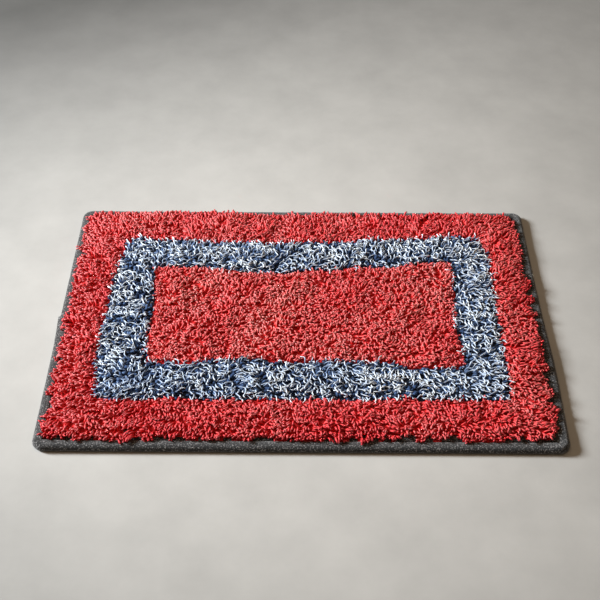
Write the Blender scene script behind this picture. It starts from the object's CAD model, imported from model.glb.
"""A shag rug with a felt-bound edge.

Strands of yarn, a felt binding and a woven backing are dressed over the frame's solids. X runs along the
rug, Y from its front edge to its back edge, and Z up from the floor. Lengths are in metres.
"""

import math
from collections import namedtuple

import bmesh
import bpy
import numpy as np
from mathutils import Matrix, Vector, noise
from mathutils.bvhtree import BVHTree


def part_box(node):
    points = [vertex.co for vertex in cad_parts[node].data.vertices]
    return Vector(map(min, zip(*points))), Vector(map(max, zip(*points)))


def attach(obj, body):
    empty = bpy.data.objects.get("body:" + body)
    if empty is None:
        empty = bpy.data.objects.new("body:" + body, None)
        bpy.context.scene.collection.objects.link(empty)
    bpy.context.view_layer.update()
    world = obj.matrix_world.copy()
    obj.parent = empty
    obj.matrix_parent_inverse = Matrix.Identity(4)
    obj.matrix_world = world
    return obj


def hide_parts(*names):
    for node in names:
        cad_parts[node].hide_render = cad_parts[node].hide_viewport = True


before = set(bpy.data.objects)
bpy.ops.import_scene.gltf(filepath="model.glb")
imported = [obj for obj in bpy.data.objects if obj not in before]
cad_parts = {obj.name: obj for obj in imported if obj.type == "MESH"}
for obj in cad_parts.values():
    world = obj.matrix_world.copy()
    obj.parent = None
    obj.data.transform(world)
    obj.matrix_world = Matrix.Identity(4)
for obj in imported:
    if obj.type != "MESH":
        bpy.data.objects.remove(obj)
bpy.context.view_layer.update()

# The camera, as fitted to the rug's outline
CAMERA_PLACE = (0.0004, -1.2998, 1.4052)
CAMERA_DOWN = math.radians(46.03)
CAMERA_TURN = math.radians(0.158)
CAMERA_ROLL = math.radians(0.206)
CAMERA_LENS = 61.5
CAMERA_NEAREST = 0.05
SENSOR_WIDTH = 36

# The light and the floor
Lamp = namedtuple("Lamp", "name place aim size energy colour")
LAMPS = [
    Lamp("window", (-5.17, 1.35, 2.52), (0, 0, 0), 1.5, 915, (0.95, 0.99, 1.0)),
    Lamp("overhead", (0.1, 0.1, 2.6), (0.1, 0.101, 0), 2.4, 14, (1.0, 0.74, 0.50)),
]
WORLD_COLOUR = (1.0, 0.72, 0.46, 1)
WORLD_STRENGTH = 0.12
FLOOR_HALF = 6

# The rug's own sizes, read from the frame where it holds them
RUG_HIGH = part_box("binding")[1]
BACKING_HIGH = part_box("backing")[1]
HALF_LENGTH = RUG_HIGH[0]
HALF_WIDTH = RUG_HIGH[1]
CORNER_RADIUS = 0.020
GAP = 0.0003

# The backing, which steps down to the floor inside the tape
BACKING_TOP = BACKING_HIGH[2]
BACKING_EDGE_BOTTOM = 0.0016
BACKING_CORNER_RADIUS = 0.0107
BACKING_SOLE_INSET = 0.0095

# The felt tape, folded over the edge and rolled
TAPE_REACH = 0.0185
TAPE_THICKNESS = 0.0013
ROLL_FOLD = 0.009
ROLL_HEIGHT = 0.012
FELT_STEP = 0.0045
CORNER_STEPS = 9
MERGE_WITHIN = 0.00002

# The tape's two ends lap on the rug's left side, which steps out there and draws in again in front of it
LAP_END = 0.0
LAP_LENGTH = 0.045
LAP_THICKNESS = 0.0045

# The binding bulges on the right side and lifts at the corners, most of all at the front right one
BULGE = 0.0040
BULGE_MIDDLE = -0.13
BULGE_LENGTH = 0.12
CORNER_LIFT = 0.0010
FRONT_RIGHT_LIFT = 0.0026
CORNER_LIFT_REACH = 0.035

# Lumps in a surface: how high and how long they are
Lump = namedtuple("Lump", "height length")
ROLL_SWELL = Lump(0.0006, 0.055)
ROLL_DENT = Lump(0.0005, 0.011)
SIDE_DENT = Lump(0.0004, 0.013)
FELT_FUZZ = Lump(0.00012, 0.0035)
GROUND_LUMP = Lump(0.0008, 0.009)

# The zones of the pile, numbered from 1 in a lattice of this pitch that reads the frame's solids
PILES = ("pile_border", "pile_band", "pile_centre")
BORDER, BAND, CENTRE = 1, 2, 3
PITCH = 0.0025

# The share of the cells round a place that lie on a solid, above which its height counts, and above which
# strands may stand there. The heights are averaged over some cells to each side.
COVER_CELLS = 2
SOLID_SHARE = 0.6
SLAB_SHARE = 0.22
LEVEL_CELLS = 3

# How far the rim's locks stay from the rug's edge at each side, and from its corners along both edges added.
# The line wanders, and in front it slants.
Room = namedtuple("Room", "left right front back left_corner right_corner")
ROOM = Room(0.0155, 0.0205, 0.0225, 0.0125, 0.040, 0.054)
ROOM_DRIFT = 0.0145
ROOM_WAVELENGTH = 0.019
ROOM_LAYER = 16
FRONT_SLANT = 0.004
ROOM_STRAY = 0.0018

# A kind of yarn: its blank's sides and joints, its half width and half thickness, its girth from root to tip,
# how late it bows over, how wide and how often it curls, and the share of its course at which it is cut
Yarn = namedtuple("Yarn", "sides joints width thickness girth bow curl turns cut")
RED = Yarn(4, 4, 0.00165, 0.00150, (0.8, 1.0, 1.0, 1.0, 0.9), 1.0, 0.0024, 0.6, 0.75)
STRIP = Yarn(4, 4, 0.00300, 0.00100, (0.8, 1.0, 1.0, 1.0, 1.0), 1.4, 0.0022, 0.5, 0.75)
WHITE = Yarn(3, 9, 0.00145, 0.00130, (0.8, *8 * (1.0,), 0.95), 1.25, 0.0042, 0.9, 0.89)
CURL_RANGE = (0.4, 1.4)
SIZE_RANGE = (0.85, 1.15)
RISE_POWER = 3.6
DROOP_POWER = 2.5
SLOPE_STEP = 0.02
UNDERSIDE_DEPTH = 0.15

# How one kind of yarn is set: its spacing, how much its heading strays, swirls and fans out from the middle,
# its reach, its foot below the pile's top, how far its tip stands above that top, its tone and its seed
Setting = namedtuple("Setting", "spacing stray swirl fan reach deep stand tone seed")
BORDER_SETTING = Setting(0.0056, 0.55, 0.5, 0.6, (0.0125, 0.0190), 0.0060, (-0.0006, 0.0006), 0.53, 11)
CENTRE_SETTING = Setting(0.0056, 0.60, 0.6, 0.3, (0.0110, 0.0160), 0.0060, (-0.0006, 0.0006), 0.79, 14)
RIM_SETTING = Setting(0.0050, 0.30, 0.5, 0.0, (0.0110, 0.0180), 0.0090, (-0.0045, -0.0015), 0.50, 15)
STRIP_SETTING = Setting(0.0074, 0.45, 0.8, 1.0, (0.0120, 0.0190), 0.0070, (-0.0030, 0.0000), 0.50, 12)
WHITE_SETTING = Setting(0.0078, 0.55, 0.8, 1.0, (0.0140, 0.0240), 0.0075, (-0.0006, 0.0028), 0.58, 13)
ROW_SHARE = 0.87
JITTER = 0.36
FAN_ALONG = 2
LEAST_REACH = 0.004
LOW_TIP = 0.0180
DROOP = 0.0016
DROOP_IN_RISE = 0.3

# What wanders over the pile: how much, over what length, and in which layer of the noise above the seed
Drift = namedtuple("Drift", "share wavelength layer")
TURN_DRIFTS = [Drift(1.10, 0.050, 0), Drift(0.35, 0.018, 1)]
TONE_DRIFTS = [Drift(0.10, 0.025, 2), Drift(0.26, 0.110, 4)]
RIM_REACH_DRIFTS = [Drift(0.45, 0.020, 3)]

# How a strand's tone strays, and how it gains towards the right and the back
TONE_STRAY = 0.13
TONE_ALONG = 0.06
TONE_ACROSS = 0.09

# At the rim, strands turn outward, reach further, droop more and are darker
RIM_CELLS = 3
RIM_PULL = 2.2
RIM_REACH = 0.50
RIM_DROOP = 0.0065
RIM_TONE = 0.18
FRINGE_DEPTH = 0.8

# At a seam, strands lean out of the band and are shorter. Of those that cross it this share stays whole.
SEAM_CELLS = 2
RED_SEAM_PULL = 1.0
STRIP_SEAM_PULL = 0.4
WHITE_SEAM_PULL = 0.8
SEAM_SHORTER = 0.25
CROSSING = 0.35
CROSSING_REACH = 0.5

# The ground below the strands, and the felt ring about it, which falls away towards the rug's corners
GROUND_STEP = 0.0035
GROUND_DEPTH = 0.0048
GROUND_RIM_DEPTH = 0.006
RING_RISE = 0.0060
RING_CORNER = 0.07
RED_GROUND, BLUE_GROUND, FELT_RING = 0, 1, 2


class Value:
    """A shader socket that takes part in sums, each of which adds its Math node."""

    def __init__(self, graph, socket):
        self.graph = graph
        self.socket = socket

    def work(self, operation, first, second):
        made = self.graph.node("ShaderNodeMath", {"operation": operation}, {0: first, 1: second})
        return made["Value"]

    def __add__(self, other):
        return self.work("ADD", self, other)

    def __sub__(self, other):
        return self.work("SUBTRACT", self, other)

    def __rsub__(self, other):
        return self.work("SUBTRACT", other, self)

    def __mul__(self, other):
        return self.work("MULTIPLY", self, other)

    def exp(self):
        return self.work("EXPONENT", self, 0.0)

    def at_least(self, other):
        return self.work("MAXIMUM", self, other)

    __radd__ = __add__
    __rmul__ = __mul__


class Node:
    """A shader node whose outputs are read by name."""

    def __init__(self, graph, node):
        self.graph = graph
        self.node = node

    def __getitem__(self, name):
        found = [out for out in self.node.outputs if name in (out.identifier, out.name) and out.enabled]
        return Value(self.graph, found[0])


class Finish:
    """One material and the nodes that make it."""

    def __init__(self, name):
        self.material = bpy.data.materials.new(name)
        self.material.use_nodes = True
        self.tree = self.material.node_tree
        self.shader = self.tree.nodes["Principled BSDF"]

    def node(self, kind, settings=None, inputs=None):
        """Adds a node, gives it its settings and then the values or links of its sockets."""
        made = self.tree.nodes.new(kind)
        for name, setting in (settings or {}).items():
            if name == "stops":
                self.set_stops(made.color_ramp, setting)
            else:
                setattr(made, name, setting)
        for name, value in (inputs or {}).items():
            self.feed(self.socket_of(made, name), value)
        return Node(self, made)

    @staticmethod
    def socket_of(node, name):
        """The node's input of this number, or the one in use that has this name."""
        if isinstance(name, int):
            return node.inputs[name]
        named = [socket for socket in node.inputs if name in (socket.identifier, socket.name)]
        return [socket for socket in named if socket.enabled][0]

    @staticmethod
    def set_stops(ramp, stops):
        while len(ramp.elements) < len(stops):
            ramp.elements.new(1)
        for element, (place, colour) in zip(ramp.elements, stops):
            element.position = place
            element.color = (*colour, 1)

    def feed(self, socket, value):
        """Links a value to a socket, or sets the socket's own number or colour."""
        if isinstance(value, Value):
            self.tree.links.new(value.socket, socket)
        elif isinstance(value, tuple) and len(value) == 3 and socket.type == "RGBA":
            socket.default_value = (*value, 1)
        else:
            socket.default_value = value

    def set(self, **sockets):
        """Sets the shader's own sockets, named with underscores for spaces."""
        for name, value in sockets.items():
            self.feed(self.shader.inputs[name.replace("_", " ")], value)

    def place(self):
        return self.node("ShaderNodeTexCoord")["Object"]

    def attribute(self, name):
        return self.node("ShaderNodeAttribute", {"attribute_name": name})["Fac"]

    def grain(self, scale, detail, roughness=0.5):
        inputs = {"Vector": self.place(), "Scale": scale, "Detail": detail, "Roughness": roughness}
        return self.node("ShaderNodeTexNoise", {}, inputs)["Fac"]

    def ramp(self, factor, stops):
        return self.node("ShaderNodeValToRGB", {"stops": stops}, {"Fac": factor})["Color"]

    def multiply(self, first, second):
        """One colour times another."""
        settings = {"data_type": "RGBA", "blend_type": "MULTIPLY"}
        inputs = {"Factor_Float": 1.0, "A_Color": first, "B_Color": second}
        return self.node("ShaderNodeMix", settings, inputs)["Result_Color"]

    def grey(self, value):
        """A colour with this value in all its channels."""
        channels = {"Red": value, "Green": value, "Blue": value}
        return self.node("ShaderNodeCombineColor", {}, channels)["Color"]

    def bump(self, height, distance, strength=1.0):
        inputs = {"Height": height, "Distance": distance, "Strength": strength}
        self.set(Normal=self.node("ShaderNodeBump", {}, inputs)["Normal"])


def yarn_finish(name, tones, depths, fibre_scale, sheen=0.0, roughness=0.75, shine=0.08):
    """Dyed yarn: its tone goes from strand to strand, its fibres show, and it deepens down to its root."""
    finish = Finish(name)
    fibre = finish.grain(fibre_scale, detail=3)
    colour = finish.ramp(finish.attribute("tone") + (fibre - 0.5) * 0.5, tones)
    depth = finish.ramp(finish.attribute("open") + (fibre - 0.5) * 0.15, depths)
    finish.set(
        Base_Color=finish.multiply(colour, depth),
        Roughness=roughness,
        Sheen_Weight=sheen,
        Sheen_Roughness=0.4,
        Specular_IOR_Level=shine,
    )
    finish.bump(fibre, distance=0.0005, strength=0.4)
    return finish.material


def red_yarn():
    tones = [
        (0.00, (0.60, 0.022, 0.038)),
        (0.30, (0.66, 0.080, 0.094)),
        (0.60, (0.69, 0.150, 0.157)),
        (0.90, (0.71, 0.220, 0.217)),
        (1.00, (0.72, 0.285, 0.265)),
    ]
    depths = [
        (0.00, (1.00, 0.01, 0.01)),
        (0.40, (1.00, 0.46, 0.48)),
        (0.80, (0.72, 1.00, 1.00)),
    ]
    return yarn_finish("red_yarn", tones, depths, fibre_scale=700, roughness=0.55, shine=0.4)


def denim_strip():
    tones = [
        (0.00, (0.008, 0.016, 0.050)),
        (0.40, (0.040, 0.080, 0.180)),
        (0.75, (0.115, 0.190, 0.335)),
        (1.00, (0.360, 0.460, 0.640)),
    ]
    depths = [
        (0.00, (0.15, 0.15, 0.18)),
        (0.50, (0.70, 0.70, 0.75)),
        (0.90, (1.00, 1.00, 1.00)),
    ]
    return yarn_finish("denim_strip", tones, depths, fibre_scale=900, sheen=0.05)


def white_yarn():
    tones = [
        (0.00, (0.56, 0.68, 0.86)),
        (0.40, (0.80, 0.88, 0.97)),
        (1.00, (0.95, 0.98, 1.00)),
    ]
    depths = [
        (0.00, (0.08, 0.11, 0.18)),
        (0.35, (0.46, 0.53, 0.67)),
        (0.65, (0.98, 0.99, 1.00)),
    ]
    return yarn_finish("white_yarn", tones, depths, fibre_scale=800, sheen=0.1)


def ground_finish(name, colour):
    """The matted roots of the tufts, seen in the gaps between the strands."""
    finish = Finish(name)
    mottle = finish.grain(260, detail=4)
    finish.set(Base_Color=finish.multiply(colour, finish.grey(mottle * 1.2 + 0.3)), Roughness=0.95)
    finish.bump(mottle, distance=0.0015)
    return finish.material


def felt_finish():
    """Charcoal felt, flecked with pale and dark fibres."""
    finish = Finish("charcoal_felt")
    fleck = finish.grain(420, detail=1, roughness=0.8)
    cloud = finish.grain(60, detail=2)
    colour = finish.ramp((fleck - 0.5) * 3.8 + 0.26 + (cloud - 0.5) * 0.15, [
        (0.25, (0.006, 0.006, 0.007)),
        (0.45, (0.020, 0.019, 0.020)),
        (0.62, (0.050, 0.048, 0.050)),
        (0.80, (0.230, 0.225, 0.230)),
    ])
    finish.set(
        Base_Color=colour,
        Roughness=0.95,
        Sheen_Weight=0.3,
        Sheen_Roughness=0.6,
        Specular_IOR_Level=0.15,
    )
    finish.bump(fleck, distance=0.0008, strength=0.8)
    return finish.material


def canvas_finish():
    """Plain woven cotton, seen from under the rug."""
    finish = Finish("backing_canvas")
    inputs = {"Vector": finish.place(), "Scale": 260.0, "Distortion": 1.5, "Detail": 1.0}
    warp = finish.node("ShaderNodeTexWave", {"bands_direction": "X"}, inputs)["Fac"]
    weft = finish.node("ShaderNodeTexWave", {"bands_direction": "Y"}, inputs)["Fac"]
    weave = warp * weft
    mottle = finish.grain(40, detail=4)
    colour = finish.ramp(weave * 0.7 + mottle * 0.4, [
        (0.1, (0.16, 0.13, 0.09)),
        (0.9, (0.46, 0.41, 0.32)),
    ])
    finish.set(Base_Color=colour, Roughness=0.95)
    finish.bump(weave, distance=0.0006, strength=0.8)
    return finish.material


def floor_finish():
    """Pale smooth concrete, whose shade fades away from the rug and is never black.

    The fade holds within about 2 m of the rug. Further off to the right it grows too bright instead.
    """
    finish = Finish("pale_floor")
    mottle = finish.grain(8.0, detail=6, roughness=0.6)
    colour = finish.ramp(mottle, [
        (0.30, (0.372, 0.367, 0.358)),
        (0.70, (0.434, 0.428, 0.417)),
    ])
    axes = finish.node("ShaderNodeSeparateXYZ", {}, {"Vector": finish.place()})
    x = axes["X"]
    y = axes["Y"]
    shade = (0.275 - 0.08 * x - 0.62 * x * x - 0.74 * y * y + 0.65 * x * y * y).exp().at_least(0.22)
    finish.set(
        Base_Color=finish.multiply(colour, finish.grey(shade)),
        Roughness=0.75,
        Specular_IOR_Level=0.3,
    )
    return finish.material


def drift(x, y, wavelength, layer):
    """A smooth wandering number for each place, about -1 to 1."""
    places = [Vector((across / wavelength, along / wavelength, layer)) for across, along in zip(x, y)]
    return np.array([noise.noise(place) for place in places]) * 1.8


def wander(x, y, drifts, seed):
    """The sum of some drifts, each in its share."""
    return sum(part.share * drift(x, y, part.wavelength, seed + part.layer) for part in drifts)


def lumpy(place, lump, shift=(0, 0, 0)):
    """How far a lump raises or sinks this place."""
    return lump.height * noise.noise(place / lump.length + Vector(shift))


def soften(field, cells, times=2):
    """A box blur of the lattice's field, this many cells to each side."""
    for _ in range(times):
        for axis in (0, 1):
            field = sum(np.roll(field, step, axis) for step in range(-cells, cells + 1)) / (2 * cells + 1)
    return field


class Relief:
    """The zones of the pile and the height of its top, read from the frame's solids on an even lattice."""

    def __init__(self):
        self.xs = np.arange(-HALF_LENGTH, HALF_LENGTH + PITCH / 2, PITCH)
        self.ys = np.arange(-HALF_WIDTH, HALF_WIDTH + PITCH / 2, PITCH)
        self.x, self.y = np.meshgrid(self.xs, self.ys, indexing="ij")
        self.top = np.zeros(self.x.shape)
        self.zone = np.zeros(self.x.shape, int)
        for number, name in enumerate(PILES, 1):
            self.read_solid(number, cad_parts[name].data)
        cover = soften((self.zone > 0).astype(float), COVER_CELLS, 1)
        solid = cover > SOLID_SHARE
        self.slab = (cover > SLAB_SHARE) & (self.room(self.x, self.y) > 0)
        covered = soften(solid.astype(float), LEVEL_CELLS)
        self.level = soften(np.where(solid, self.top, 0), LEVEL_CELLS) / np.maximum(covered, 0.01)
        self.zone[self.slab & (self.zone == 0)] = BORDER

    def read_solid(self, number, mesh):
        """Marks the cells whose highest solid this is, and keeps its height there."""
        tree = BVHTree.FromPolygons([v.co for v in mesh.vertices], [p.vertices for p in mesh.polygons])
        down = Vector((0, 0, -1))
        for i, x in enumerate(self.xs):
            for j, y in enumerate(self.ys):
                hit = tree.ray_cast(Vector((x, y, 1)), down)[0]
                if hit and hit.z > self.top[i, j]:
                    self.top[i, j] = hit.z
                    self.zone[i, j] = number

    @staticmethod
    def room(x, y):
        """How far a place is inside the line that the rim's locks reach, which wanders along the edge."""
        side_x = HALF_LENGTH - abs(x)
        side_y = HALF_WIDTH - abs(y)
        room_x = side_x - np.where(x < 0, ROOM.left, ROOM.right)
        room_y = side_y - np.where(y < 0, ROOM.front + FRONT_SLANT * x, ROOM.back)
        corner = side_x + side_y - np.where(x > 0, ROOM.right_corner, ROOM.left_corner)
        edge_drift = drift(x.ravel(), y.ravel(), ROOM_WAVELENGTH, ROOM_LAYER).reshape(x.shape)
        return np.minimum(np.minimum(room_x, room_y), corner) - ROOM_DRIFT * edge_drift

    def read(self, field, x, y):
        """The field's values in the cells of these places."""
        i = np.clip(np.rint((x - self.xs[0]) / PITCH).astype(int), 0, len(self.xs) - 1)
        j = np.clip(np.rint((y - self.ys[0]) / PITCH).astype(int), 0, len(self.ys) - 1)
        return field[i, j]


class Edge:
    """How near a place is to the edge of some zones, and which way is out of them."""

    def __init__(self, relief, inside, cells):
        self.relief = relief
        self.depth = soften(inside.astype(float), cells)
        self.slope = np.gradient(-self.depth, PITCH)

    def nearness(self, x, y):
        """1 on the edge, and 0 well inside or outside it."""
        return 1 - abs(1 - 2 * self.relief.read(self.depth, x, y))

    def outward(self, x, y):
        out = np.stack([self.relief.read(slope, x, y) for slope in self.slope], axis=1)
        return out / np.maximum(np.linalg.norm(out, axis=1, keepdims=True), 1e-6)


def strand_blank(sides, joints):
    """A strand's blank along +Z from 0 to 1, of radius 1, as its points and its faces."""
    bm = bmesh.new()
    bmesh.ops.create_cone(bm, cap_ends=True, segments=sides, radius1=1, radius2=1, depth=1)
    bmesh.ops.translate(bm, vec=(0, 0, 0.5), verts=bm.verts)
    upright = [edge for edge in bm.edges if abs(edge.verts[0].co.z - edge.verts[1].co.z) > 0.5]
    bmesh.ops.subdivide_edges(bm, edges=upright, cuts=joints - 1)
    bm.verts.index_update()
    points = np.array([vert.co for vert in bm.verts])
    faces = [[vert.index for vert in face.verts] for face in bm.faces]
    bm.free()
    return points, faces


class Strands:
    """The places and bends of many strands of one kind of yarn."""

    def __init__(self, yarn, x, y, foot, rise, heading, reach, droop, tone, rng):
        self.yarn = yarn
        self.root = np.stack([x, y, foot], axis=1)
        self.rise = rise
        self.ahead = np.stack([np.cos(heading), np.sin(heading), np.zeros(len(x))], axis=1)
        self.aside = np.stack([-np.sin(heading), np.cos(heading), np.zeros(len(x))], axis=1)
        self.reach = reach
        self.droop = droop
        self.tone = tone
        self.phase = rng.uniform(0, 2 * math.pi, len(x))
        self.curl = rng.uniform(*CURL_RANGE, len(x)) * yarn.curl
        self.size = rng.uniform(*SIZE_RANGE, len(x))

    def line(self, along):
        """The strands' middle points at this share of their full course, from 0 to 1."""
        lift = self.rise * (1 - (1 - along) ** RISE_POWER) - self.droop * along**DROOP_POWER
        forward = self.reach * along**self.yarn.bow
        sway = self.curl * along * np.sin(2 * math.pi * self.yarn.turns * along + self.phase)
        up = np.array((0, 0, 1))
        return (
            self.root
            + self.ahead * forward[:, None]
            + self.aside * sway[:, None]
            + up * lift[:, None]
        )

    def mesh(self, name):
        """Bends a copy of the blank along each strand's line, from its root to its cut end."""
        points, faces = strand_blank(self.yarn.sides, self.yarn.joints)
        count = len(self.root)
        made = np.empty((count, len(points), 3))
        for index, (across, over, share) in enumerate(points):
            along = share * self.yarn.cut
            way = self.line(along + SLOPE_STEP) - self.line(max(along - SLOPE_STEP, 0))
            way /= np.linalg.norm(way, axis=1, keepdims=True)
            normal = np.cross(way, self.aside)
            girth = self.size * np.interp(share, np.linspace(0, 1, len(self.yarn.girth)), self.yarn.girth)
            made[:, index] = (
                self.line(along)
                + self.aside * (across * self.yarn.width * girth)[:, None]
                + normal * (over * self.yarn.thickness * girth)[:, None]
            )
        return joined_mesh(name, made, faces, {
            "tone": np.repeat(self.tone, len(points)),
            "open": np.tile(points[:, 2] * self.yarn.cut - UNDERSIDE_DEPTH * (1 - points[:, 1]), count),
        })


def joined_mesh(name, copies, faces, attributes):
    """One mesh of all the copies of a blank, whose points are given copy by copy."""
    count, size = copies.shape[:2]
    corners = np.concatenate([np.array(face) for face in faces])
    loops = (corners[None, :] + size * np.arange(count)[:, None]).ravel()
    face_sizes = np.tile(np.array([len(face) for face in faces]), count)
    mesh = bpy.data.meshes.new(name)
    mesh.vertices.add(count * size)
    mesh.vertices.foreach_set("co", copies.ravel())
    mesh.loops.add(len(loops))
    mesh.loops.foreach_set("vertex_index", loops)
    mesh.polygons.add(len(face_sizes))
    mesh.polygons.foreach_set("loop_start", np.concatenate([[0], np.cumsum(face_sizes)[:-1]]))
    mesh.polygons.foreach_set("loop_total", face_sizes)
    mesh.update(calc_edges=True)
    mesh.shade_smooth()
    for key, values in attributes.items():
        mesh.attributes.new(key, "FLOAT", "POINT").data.foreach_set("value", values)
    return mesh


def finished_mesh(bm, name):
    """Turns a bmesh into a mesh and frees it."""
    mesh = bpy.data.meshes.new(name)
    bm.to_mesh(mesh)
    bm.free()
    return mesh


def add_piece(name, mesh, material, slot, *nodes):
    """Adds a piece that rides on the rug, and hides the frame's nodes that it stands for."""
    piece = bpy.data.objects.new(name, mesh)
    bpy.context.scene.collection.objects.link(piece)
    mesh.materials.append(material)
    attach(piece, "root")
    if nodes:
        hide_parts(*nodes)
    return piece


def scatter(relief, allowed, spacing, rng):
    """Places in staggered rows, each a little astray, on the allowed part of the lattice."""
    xs = np.arange(-HALF_LENGTH, HALF_LENGTH, spacing)
    ys = np.arange(-HALF_WIDTH, HALF_WIDTH, spacing * ROW_SHARE)
    x, y = np.meshgrid(xs, ys, indexing="ij")
    x = x + (np.arange(len(ys)) % 2) * spacing / 2
    x = x.ravel() + rng.uniform(-1, 1, x.size) * spacing * JITTER
    y = y.ravel() + rng.uniform(-1, 1, y.size) * spacing * JITTER
    kept = relief.read(allowed, x, y)
    return x[kept], y[kept]


def plant(relief, setting, yarn, allowed, rim, seam, seam_pull):
    """Sets strands on the allowed part of the lattice, turned outward at the rim and out of the band."""
    rng = np.random.default_rng(setting.seed)
    x, y = scatter(relief, allowed, setting.spacing, rng)
    count = len(x)
    at_rim = rim.nearness(x, y)
    at_seam = seam.nearness(x, y)

    tone = setting.tone + TONE_ALONG * x / HALF_LENGTH + TONE_ACROSS * y / HALF_WIDTH
    tone += rng.normal(0, TONE_STRAY, count)
    tone += wander(x, y, TONE_DRIFTS, setting.seed)
    tone -= RIM_TONE * at_rim

    turn = math.pi * wander(x, y, TURN_DRIFTS, setting.seed)
    way = np.stack([np.cos(turn), np.sin(turn)], axis=1) * setting.swirl
    way += rng.normal(0, setting.stray, (count, 2))
    way += np.stack([FAN_ALONG * (x / HALF_LENGTH) ** 3, y / HALF_WIDTH], axis=1) * setting.fan
    way += rim.outward(x, y) * (RIM_PULL * at_rim)[:, None]
    way += seam.outward(x, y) * (seam_pull * at_seam)[:, None]
    way /= np.linalg.norm(way, axis=1, keepdims=True)
    heading = np.arctan2(way[:, 1], way[:, 0])

    reach = rng.uniform(*setting.reach, count) * (1 - SEAM_SHORTER * at_seam)
    reach *= 1 + at_rim * (RIM_REACH + wander(x, y, RIM_REACH_DRIFTS, setting.seed))
    tip_x = x + way[:, 0] * reach
    tip_y = y + way[:, 1] * reach
    over = rng.normal(0, ROOM_STRAY, count) - relief.room(tip_x, tip_y)
    reach = np.maximum(reach - np.maximum(over, 0), LEAST_REACH)
    landing = relief.read(relief.zone, tip_x, tip_y)
    crosses = (landing > 0) & (landing != relief.read(relief.zone, x, y))
    shortened = crosses & (rng.uniform(0, 1, count) > CROSSING)
    reach = np.where(shortened, reach * CROSSING_REACH, reach)

    level = relief.read(relief.level, x, y)
    foot = np.maximum(level - setting.deep, BACKING_TOP + GAP)
    top = np.maximum(level, LOW_TIP) + rng.uniform(*setting.stand, count)
    droop = DROOP + at_rim * RIM_DROOP
    rise = top - foot + droop * DROOP_IN_RISE
    return Strands(yarn, x, y, foot, rise, heading, reach, droop, np.clip(tone, 0, 1), rng)


def rug_pile(relief, rim):
    """Every strand of the pile, in a few joined pieces."""
    seam = Edge(relief, relief.zone == BAND, SEAM_CELLS)
    border, band, centre = ((relief.zone == zone) & relief.slab for zone in (BORDER, BAND, CENTRE))
    left = relief.x < 0
    front = relief.y < 0
    lengthwise = abs(relief.y) / HALF_WIDTH > abs(relief.x) / HALF_LENGTH
    made = []

    red = red_yarn()
    for name, allowed, node, setting in (
        ("front_strands", border & lengthwise & front, "pile_border", BORDER_SETTING),
        ("back_strands", border & lengthwise & ~front, "pile_border", BORDER_SETTING),
        ("left_strands", border & ~lengthwise & left, "pile_border", BORDER_SETTING),
        ("right_strands", border & ~lengthwise & ~left, "pile_border", BORDER_SETTING),
        ("centre_strands_left", centre & left, "pile_centre", CENTRE_SETTING),
        ("centre_strands_right", centre & ~left, "pile_centre", CENTRE_SETTING),
    ):
        strands = plant(relief, setting, RED, allowed, rim, seam, RED_SEAM_PULL)
        made.append(add_piece(name, strands.mesh(name), red, "red_yarn", node))
    fringe = relief.slab & (rim.depth < FRINGE_DEPTH)
    strands = plant(relief, RIM_SETTING, RED, fringe, rim, seam, 0)
    made.append(add_piece("rim_strands", strands.mesh("rim_strands"), red, "red_yarn"))

    strands = plant(relief, STRIP_SETTING, STRIP, band, rim, seam, STRIP_SEAM_PULL)
    mesh = strands.mesh("denim_strips")
    made.append(add_piece("denim_strips", mesh, denim_strip(), "band_yarn", "pile_band"))
    white = white_yarn()
    for name, allowed in (("white_strands_left", band & left), ("white_strands_right", band & ~left)):
        strands = plant(relief, WHITE_SETTING, WHITE, allowed, rim, seam, WHITE_SEAM_PULL)
        made.append(add_piece(name, strands.mesh(name), white, "band_yarn"))
    return made


def pile_ground(relief, rim, felt):
    """A lumpy sheet well below the strands' tips: the tufts' matted roots, with a ring of felt about them."""
    half_x = HALF_LENGTH - TAPE_REACH - GAP
    half_y = HALF_WIDTH - TAPE_REACH - GAP
    steps = (round(half_x / GROUND_STEP), round(half_y / GROUND_STEP))
    bm = bmesh.new()
    bmesh.ops.create_grid(bm, x_segments=steps[0], y_segments=steps[1], size=1)
    bmesh.ops.scale(bm, vec=(half_x, half_y, 1), verts=bm.verts)
    for vert in bm.verts:
        x, y = map(np.array, vert.co.xy)
        to_corner = math.hypot(HALF_LENGTH - abs(x), HALF_WIDTH - abs(y))
        lowest = BACKING_TOP + 2 * GAP + RING_RISE * min(1, (to_corner / RING_CORNER) ** 2)
        height = relief.read(relief.level, x, y) - GROUND_DEPTH - GROUND_RIM_DEPTH * rim.nearness(x, y)
        height += lumpy(vert.co, GROUND_LUMP)
        vert.co.z = max(height, lowest) if relief.read(relief.slab, x, y) else lowest
    for face in bm.faces:
        x, y = map(np.array, face.calc_center_median().xy)
        zone = relief.read(relief.zone, x, y) * relief.read(relief.slab, x, y)
        face.material_index = {BAND: BLUE_GROUND, 0: FELT_RING}.get(int(zone), RED_GROUND)
    border = [edge for edge in bm.edges if edge.is_boundary]
    made = bmesh.ops.extrude_edge_only(bm, edges=border)["geom"]
    for vert in [item for item in made if isinstance(item, bmesh.types.BMVert)]:
        vert.co.z = BACKING_TOP + GAP
    rim_edges = [item for item in made if isinstance(item, bmesh.types.BMEdge)]
    bmesh.ops.triangle_fill(bm, edges=rim_edges, use_beauty=True)
    bmesh.ops.recalc_face_normals(bm, faces=bm.faces)
    mesh = finished_mesh(bm, "pile_ground")
    mesh.shade_smooth()
    piece = add_piece("pile_ground", mesh, ground_finish("red_ground", (0.50, 0.006, 0.008)), "red_yarn")
    mesh.materials.append(ground_finish("blue_ground", (0.012, 0.022, 0.055)))
    mesh.materials.append(felt)
    return piece


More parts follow.
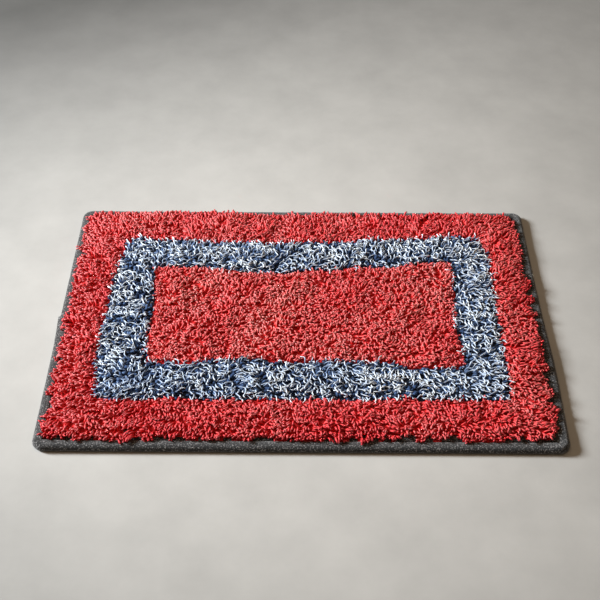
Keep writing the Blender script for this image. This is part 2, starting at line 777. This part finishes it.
def tape_section():
    """The folded tape's section, as pairs of the distance in from the rug's edge and the height."""
    groove_top = BACKING_TOP + GAP
    mid_leg = 0.014
    legs = [
        (0.0045, 0), (0.009, 0), (mid_leg, 0), (TAPE_REACH, 0),
        (TAPE_REACH, TAPE_THICKNESS), (ROLL_FOLD, TAPE_THICKNESS),
        (ROLL_FOLD, groove_top), (mid_leg, groove_top),
        (TAPE_REACH, groove_top), (TAPE_REACH, groove_top + TAPE_THICKNESS),
    ]
    roll = [
        (0.0184, 0.0088), (0.0179, 0.0100), (0.0168, 0.0108), (0.0152, 0.0113), (0.0134, 0.0116),
        (0.0116, 0.0118), (0.0098, 0.0119), (0.0080, ROLL_HEIGHT), (0.0062, 0.0118), (0.0044, 0.0112),
        (0.0028, 0.0102), (0.0014, 0.0087), (0.0005, 0.0069), (0.0002, 0.0052), (0.0005, 0.0036),
        (0.0012, 0.0020), (0.0026, 0.0006),
    ]
    return legs + roll


def binding_mesh():
    """Sweeps the tape's section round the rug, along each side and about each corner."""
    bm = bmesh.new()
    half_x = HALF_LENGTH - CORNER_RADIUS
    half_y = HALF_WIDTH - CORNER_RADIUS
    ring = [bm.verts.new((-half_x, -HALF_WIDTH + inward, z)) for inward, z in tape_section()]
    edges = [bm.edges.new(pair) for pair in zip(ring, ring[1:] + ring[:1])]
    for way_x, way_y, half in ((1, 0, half_x), (0, 1, half_y), (-1, 0, half_x), (0, -1, half_y)):
        count = round(2 * half / FELT_STEP)
        for _ in range(count):
            made = bmesh.ops.extrude_edge_only(bm, edges=edges)["geom"]
            edges = [item for item in made if isinstance(item, bmesh.types.BMEdge)]
            verts = [item for item in made if isinstance(item, bmesh.types.BMVert)]
            bmesh.ops.translate(bm, vec=Vector((way_x, way_y, 0)) * 2 * half / count, verts=verts)
        centre = ((way_x + way_y) * half_x, (way_y - way_x) * half_y, 0)
        turned = bmesh.ops.spin(
            bm,
            geom=edges,
            cent=centre,
            axis=(0, 0, 1),
            angle=math.pi / 2,
            steps=CORNER_STEPS,
            use_merge=False,
        )["geom_last"]
        edges = [item for item in turned if isinstance(item, bmesh.types.BMEdge)]
    bmesh.ops.remove_doubles(bm, verts=bm.verts, dist=MERGE_WITHIN)
    for vert in bm.verts:
        roughen_felt(vert)
    bmesh.ops.recalc_face_normals(bm, faces=bm.faces)
    mesh = finished_mesh(bm, "felt_binding")
    mesh.shade_smooth()
    return mesh


def roughen_felt(vert):
    """Lets the binding bulge, lap, swell, dent and lift at its corners, as soft felt does."""
    place = vert.co.copy()
    outer = max(0, 1 - (HALF_LENGTH - abs(place.x)) / TAPE_REACH)
    bulge = BULGE * math.exp(-(((place.y - BULGE_MIDDLE) / BULGE_LENGTH) ** 2))
    lap = LAP_THICKNESS * math.exp(place.y / LAP_LENGTH) if place.y < LAP_END else 0
    vert.co.x += outer * bulge if place.x > 0 else -outer * lap
    if place.z < BACKING_TOP + 3 * GAP:
        return
    to_corner = Vector((HALF_LENGTH - abs(place.x), HALF_WIDTH - abs(place.y)))
    most = FRONT_RIGHT_LIFT if place.x > 0 > place.y else CORNER_LIFT
    lift = most * math.exp(-((to_corner.length / CORNER_LIFT_REACH) ** 2))
    wave = lumpy(place, ROLL_SWELL) + lumpy(place, ROLL_DENT)
    fuzz = lumpy(place, FELT_FUZZ)
    vert.co.z += place.z / ROLL_HEIGHT * (wave + lift) + fuzz
    vert.co.x -= math.copysign(lumpy(place, SIDE_DENT, (0, 0, 5)) + fuzz, place.x)
    vert.co.y -= math.copysign(lumpy(place, SIDE_DENT, (0, 5, 0)) + fuzz, place.y)


def backing_mesh():
    """A rounded plate of canvas that steps down to the floor inside the tape."""
    bm = bmesh.new()
    bmesh.ops.create_grid(bm, x_segments=1, y_segments=1, size=1)
    bmesh.ops.scale(bm, vec=(BACKING_HIGH[0], BACKING_HIGH[1], 1), verts=bm.verts)
    bmesh.ops.translate(bm, vec=(0, 0, BACKING_EDGE_BOTTOM), verts=bm.verts)
    bmesh.ops.bevel(
        bm,
        geom=bm.verts[:],
        offset=BACKING_CORNER_RADIUS,
        segments=6,
        profile=0.5,
        affect="VERTICES",
        material=-1,
    )
    under = bm.faces[:][0]
    raised = bmesh.ops.extrude_face_region(bm, geom=[under], use_keep_orig=True)["geom"]
    top = [item for item in raised if isinstance(item, bmesh.types.BMVert)]
    bmesh.ops.translate(bm, vec=(0, 0, BACKING_TOP - BACKING_EDGE_BOTTOM), verts=top)
    bmesh.ops.recalc_face_normals(bm, faces=bm.faces)
    bmesh.ops.inset_region(bm, faces=[under], thickness=BACKING_SOLE_INSET, use_even_offset=True)
    sole = bmesh.ops.extrude_discrete_faces(bm, faces=[under])["faces"][0]
    bmesh.ops.translate(bm, vec=(0, 0, -BACKING_EDGE_BOTTOM), verts=sole.verts)
    return finished_mesh(bm, "backing_canvas")


def add_lamp(lamp):
    data = bpy.data.lights.new(lamp.name, "AREA")
    data.shape = "SQUARE"
    data.size = lamp.size
    data.energy = lamp.energy
    data.color = lamp.colour
    obj = bpy.data.objects.new(lamp.name, data)
    obj.location = lamp.place
    obj.rotation_euler = (Vector(lamp.aim) - Vector(lamp.place)).to_track_quat("-Z", "Y").to_euler()
    bpy.context.scene.collection.objects.link(obj)


def studio():
    """A broad window light from the left, a soft one overhead, and a plain pale floor."""
    world = bpy.data.worlds.new("studio")
    bpy.context.scene.world = world
    world.use_nodes = True
    background = world.node_tree.nodes["Background"]
    background.inputs["Color"].default_value = WORLD_COLOUR
    background.inputs["Strength"].default_value = WORLD_STRENGTH
    for lamp in LAMPS:
        add_lamp(lamp)
    bm = bmesh.new()
    bmesh.ops.create_grid(bm, x_segments=1, y_segments=1, size=FLOOR_HALF)
    floor = bpy.data.objects.new("floor", finished_mesh(bm, "floor"))
    floor.data.materials.append(floor_finish())
    bpy.context.scene.collection.objects.link(floor)
    bpy.context.scene.view_settings.view_transform = "Standard"


def camera():
    """The camera, at the photograph's viewing angle."""
    data = bpy.data.cameras.new("camera")
    data.lens = CAMERA_LENS
    data.sensor_width = SENSOR_WIDTH
    data.clip_start = CAMERA_NEAREST
    obj = bpy.data.objects.new("camera", data)
    turn = Matrix.Rotation(CAMERA_TURN, 4, "Z") @ Matrix.Rotation(math.pi / 2 - CAMERA_DOWN, 4, "X")
    obj.matrix_world = Matrix.Translation(CAMERA_PLACE) @ turn @ Matrix.Rotation(CAMERA_ROLL, 4, "Z")
    bpy.context.scene.collection.objects.link(obj)
    bpy.context.scene.camera = obj


camera()
studio()
relief = Relief()
rim = Edge(relief, relief.slab, RIM_CELLS)
strands = rug_pile(relief, rim)
felt = felt_finish()
ground = pile_ground(relief, rim, felt)
binding = add_piece("felt_binding", binding_mesh(), felt, "felt", "binding")
backing = add_piece("backing_canvas", backing_mesh(), canvas_finish(), "backing", "backing")
